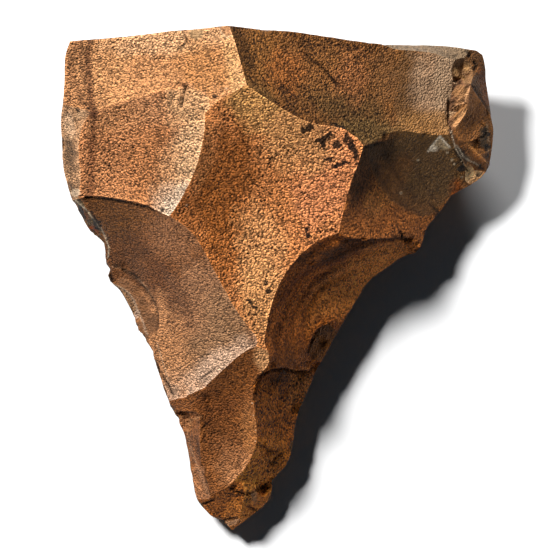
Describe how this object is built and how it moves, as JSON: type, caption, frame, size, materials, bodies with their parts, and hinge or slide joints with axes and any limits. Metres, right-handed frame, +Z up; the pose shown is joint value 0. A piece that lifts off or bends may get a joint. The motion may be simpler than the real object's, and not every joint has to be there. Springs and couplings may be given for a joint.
{
  "type": "stone borer",
  "caption": "Hand-held flaked stone borer with a broad thick butt, long flake scars and a blunt point.",
  "frame": {"origin": "middle of the footprint, on the surface that the stone lies on", "axes": "+Z up out of the flaked upper face, +Y towards the thick butt, -Y towards the point, +X to the battered end"},
  "size_m": [0.078, 0.0908, 0.031],
  "materials": {
    "stone": "fine-grained speckled quartzite with a worn tan and red-brown patina"
  },
  "bodies": {
    "root": {"flaked_stone": "stone"}
  },
  "joints": []
}
